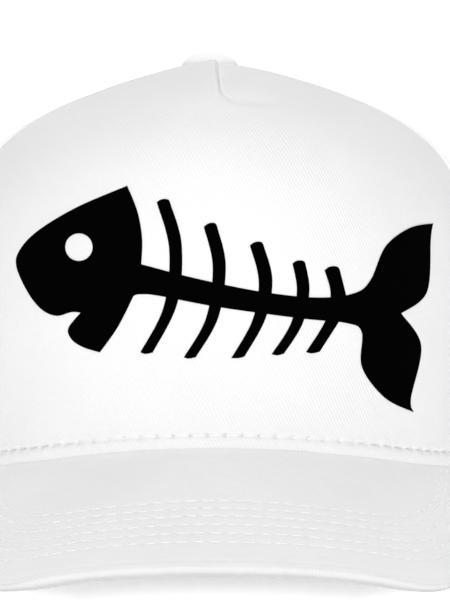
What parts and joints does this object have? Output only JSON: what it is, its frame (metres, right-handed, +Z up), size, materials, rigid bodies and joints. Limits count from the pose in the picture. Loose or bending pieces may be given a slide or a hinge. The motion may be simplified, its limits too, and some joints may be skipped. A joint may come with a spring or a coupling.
{
  "type": "baseball cap",
  "caption": "White twill baseball cap with a curved stitched visor, covered top button, half-moon back opening with a strap, and a fishbone figure printed on the front.",
  "frame": {"origin": "on the surface that the cap stands on, under the middle of its bounding box", "axes": "+Z up, +Y towards the back of the cap, the visor towards -Y, +X to the wearer's left, which is the right hand side seen from the front"},
  "size_m": [0.1678, 0.2634, 0.1428],
  "materials": {
    "crown_twill": "white cotton twill, fine diagonal rib, matte",
    "visor_twill": "white cotton twill over a board, with rows of stitching, matte",
    "lining": "white plain-woven cotton, matte",
    "strap": "white cotton strap with hook-and-loop tape, matte",
    "thread": "white polyester sewing thread, slight sheen",
    "ink": "matte black transfer film"
  },
  "bodies": {
    "root": {"front_panel": "crown_twill", "side_panel_right": "crown_twill", "side_panel_left": "crown_twill", "back_panel_right": "crown_twill", "back_panel_left": "crown_twill", "eyelet_right_1": "thread", "eyelet_right_2": "thread", "eyelet_left_1": "thread", "eyelet_left_2": "thread", "visor": "visor_twill", "sweatband": "lining", "strap_right": "strap", "strap_left": "strap", "button": "crown_twill", "fishbone_print": "ink"}
  },
  "joints": []
}
